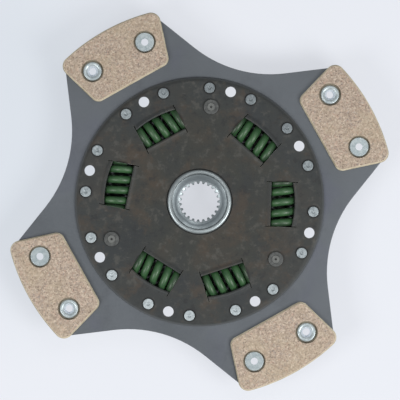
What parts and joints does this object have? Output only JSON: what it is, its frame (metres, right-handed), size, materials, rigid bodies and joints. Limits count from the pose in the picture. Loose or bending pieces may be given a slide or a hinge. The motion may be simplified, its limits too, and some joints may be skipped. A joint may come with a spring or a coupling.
{
  "type": "clutch disc",
  "caption": "Sprung clutch disc with sintered pads on paddle arms, a splined hub and a torsional spring damper between hub and side plates.",
  "frame": {"origin": "on the hub's axis, in the middle of the paddle plate and linings", "axes": "+Z along the hub's axis towards the engine side that the picture shows; +X is right and +Y is up in the picture"},
  "size_m": [0.232, 0.232, 0.027],
  "materials": {
    "hub_steel": "turned, satin",
    "paddle_steel": "blued, satin",
    "side_plate_steel": "phosphated and oiled, matte",
    "zinc_steel": "zinc plated",
    "rivet_steel": "zinc plated",
    "dark_steel": "phosphated",
    "spring_paint": "green paint, satin",
    "sinter": "sintered metal, matte, speckled",
    "backing_steel": "copper-washed steel",
    "friction_ring": "moulded, matte",
    "spring_steel": "dark spring steel"
  },
  "bodies": {
    "disc": {"paddle_plate": "paddle_steel", "front_side_plate": "side_plate_steel", "rear_side_plate": "side_plate_steel", "carrier_rivets": "zinc_steel", "pad_rivets": "rivet_steel", "stop_pin_1": "dark_steel", "stop_pin_2": "dark_steel", "stop_pin_3": "dark_steel", "front_friction_ring": "friction_ring", "rear_friction_ring": "friction_ring", "pressure_ring": "spring_steel", "disc_spring": "spring_steel", "front_lining_1": "sinter", "front_backing_1": "backing_steel", "rear_lining_1": "sinter", "rear_backing_1": "backing_steel", "front_lining_2": "sinter", "front_backing_2": "backing_steel", "rear_lining_2": "sinter", "rear_backing_2": "backing_steel", "front_lining_3": "sinter", "front_backing_3": "backing_steel", "rear_lining_3": "sinter", "rear_backing_3": "backing_steel", "front_lining_4": "sinter", "front_backing_4": "backing_steel", "rear_lining_4": "sinter", "rear_backing_4": "backing_steel"},
    "hub": {"hub": "hub_steel"},
    "springs": {"damper_spring_1": "spring_paint", "damper_spring_2": "spring_paint", "damper_spring_3": "spring_paint", "damper_spring_4": "spring_paint", "damper_spring_5": "spring_paint", "damper_spring_6": "spring_paint"}
  },
  "joints": [
    {"name": "hub_twist", "type": "hinge", "parent": "disc", "child": "hub", "pos_m": [0, 0, 0], "axis": [0, 0, 1], "range_deg": [-5, 5], "stiffness_Nm_per_rad": 6700, "deforming": ["damper_spring_1", "damper_spring_2", "damper_spring_3", "damper_spring_4", "damper_spring_5", "damper_spring_6"]},
    {"name": "spring_follow", "type": "hinge", "parent": "disc", "child": "springs", "pos_m": [0, 0, 0], "axis": [0, 0, 1], "range_deg": [-2.5, 2.5]}
  ],
  "couplings": [
    {"joint": "spring_follow", "follows": "hub_twist", "ratio": 0.5}
  ]
}
